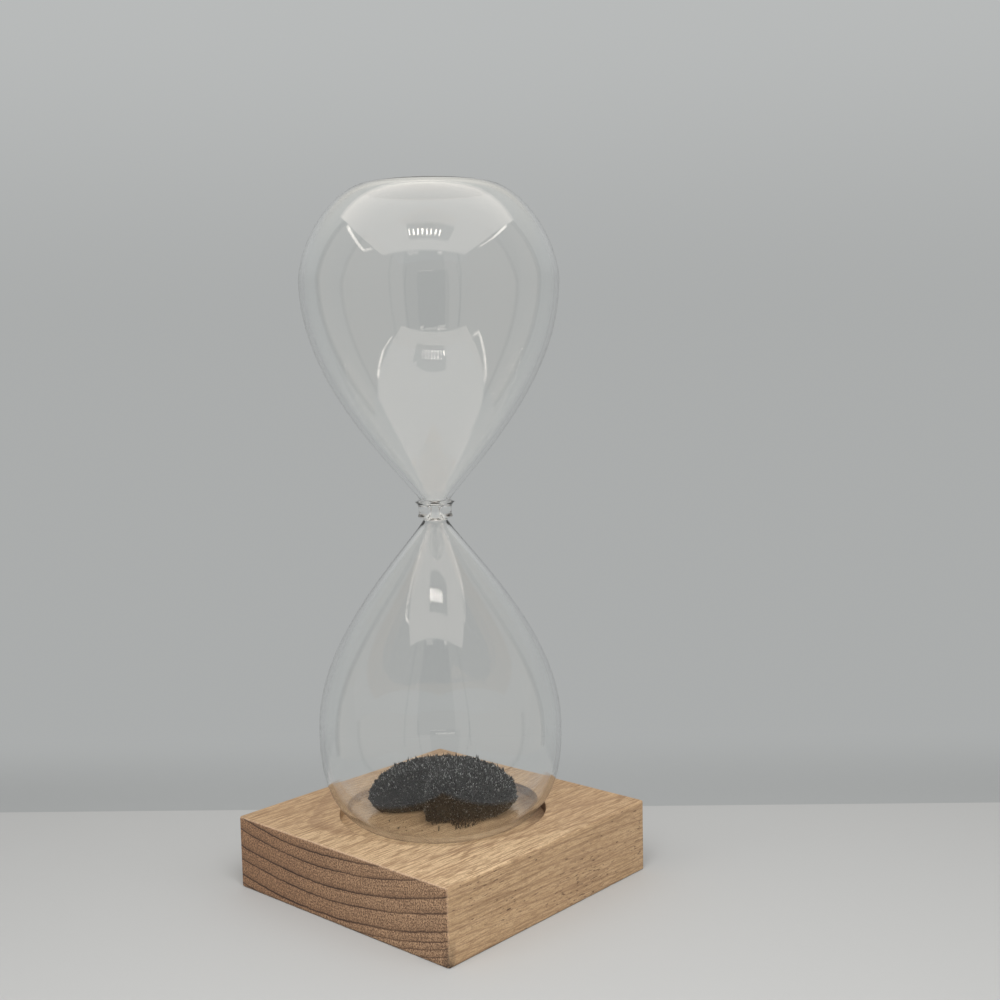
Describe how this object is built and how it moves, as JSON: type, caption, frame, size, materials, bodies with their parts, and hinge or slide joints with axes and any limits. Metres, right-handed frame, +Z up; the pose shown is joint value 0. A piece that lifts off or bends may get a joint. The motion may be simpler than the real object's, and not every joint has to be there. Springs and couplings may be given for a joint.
{
  "type": "magnetic hourglass",
  "caption": "Hourglass of clear blown glass that stands in the round seat of a square beech block, with dark iron powder heaped on its floor by a magnet inside the block.",
  "frame": {"origin": "centre of the block's underside", "axes": "+Z up along the glass's axis, +X along the grain of the wood, +Y across the grain"},
  "size_m": [0.06, 0.06, 0.143],
  "materials": {
    "beech": "planed and left matt, with end grain on the faces across X",
    "ferrite": "dull grey sintered ferrite",
    "felt": "thin pressed felt",
    "iron_powder": "fine dark powder standing in short needles",
    "clear_glass": "clear, smooth and fire-polished"
  },
  "bodies": {
    "base": {"base_block": "beech", "disc_magnet": "ferrite", "felt_cover_disc": "felt"},
    "powder": {"iron_powder": "iron_powder"},
    "glass": {"lower_bulb": "clear_glass", "neck_joint": "clear_glass", "upper_bulb": "clear_glass"}
  },
  "joints": [
    {"name": "glass_lift", "type": "slide", "parent": "base", "child": "powder", "axis": [0, 0, 1], "range_m": [0, 0.08]},
    {"name": "glass_turn_over", "type": "hinge", "parent": "powder", "child": "glass", "pos_m": [0, 0, 0.078], "axis": [0, 1, 0], "range_deg": [0, 180], "deforming": ["iron_powder"]}
  ],
  "couplings": [
    {"joint": "glass_turn_over", "follows": "glass_lift", "rad_per_m": 39.27}
  ]
}
